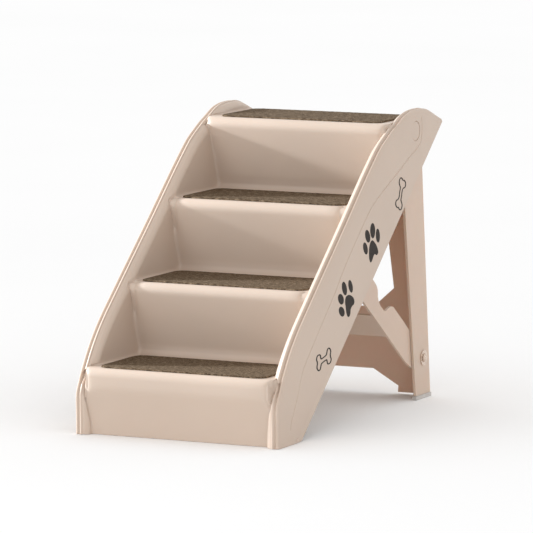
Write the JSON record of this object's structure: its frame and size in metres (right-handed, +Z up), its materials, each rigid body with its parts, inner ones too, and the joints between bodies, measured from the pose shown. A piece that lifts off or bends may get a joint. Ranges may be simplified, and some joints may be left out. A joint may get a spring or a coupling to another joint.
{
  "type": "folding pet stairs",
  "caption": "Folding pet stairs: a moulded stair shell with carpeted treads, held up at the back by a hinged leg frame and a folding brace.",
  "frame": {"origin": "middle of the footprint's bounding box, on the floor", "axes": "+X to the right seen from the first step, +Y from the first step to the back, +Z up"},
  "size_m": [0.46, 0.811, 0.6241],
  "materials": {
    "beige_plastic": "satin moulded",
    "frame_plastic": "satin moulded",
    "brown_carpet": "short needled pile",
    "nickel_steel": "nickel plated",
    "grey_rubber": "matt"
  },
  "bodies": {
    "stairs": {"stair_shell": "beige_plastic", "tread_carpet_1": "brown_carpet", "tread_carpet_2": "brown_carpet", "tread_carpet_3": "brown_carpet", "tread_carpet_4": "brown_carpet", "hinge_pin_left": "nickel_steel", "hinge_pin_right": "nickel_steel", "hinge_washer_left": "nickel_steel", "hinge_washer_right": "nickel_steel", "hinge_nut_left": "nickel_steel", "hinge_nut_right": "nickel_steel", "hinge_cap_left": "beige_plastic", "hinge_cap_right": "beige_plastic", "floor_pad_left": "grey_rubber", "floor_pad_right": "grey_rubber", "pad_screw_left": "nickel_steel", "pad_screw_right": "nickel_steel"},
    "leg": {"leg_frame": "frame_plastic", "leg_foot_left": "grey_rubber", "leg_foot_right": "grey_rubber", "brace_bolt_left": "nickel_steel", "brace_bolt_right": "nickel_steel", "brace_washer_left": "nickel_steel", "brace_washer_right": "nickel_steel", "brace_inner_washer_left": "nickel_steel", "brace_inner_washer_right": "nickel_steel", "brace_nut_left": "nickel_steel", "brace_nut_right": "nickel_steel"},
    "brace": {"brace_frame": "frame_plastic"}
  },
  "joints": [
    {"name": "leg_fold", "type": "hinge", "parent": "stairs", "child": "leg", "pos_m": [0, 0.2646, 0.5785], "axis": [1, 0, 0], "range_deg": [-53, 0]},
    {"name": "brace_fold", "type": "hinge", "parent": "leg", "child": "brace", "pos_m": [0, 0.342, 0.0872], "axis": [1, 0, 0], "range_deg": [-48.5, 0]}
  ],
  "couplings": [
    {"joint": "brace_fold", "follows": "leg_fold", "ratio": 0.91509}
  ]
}
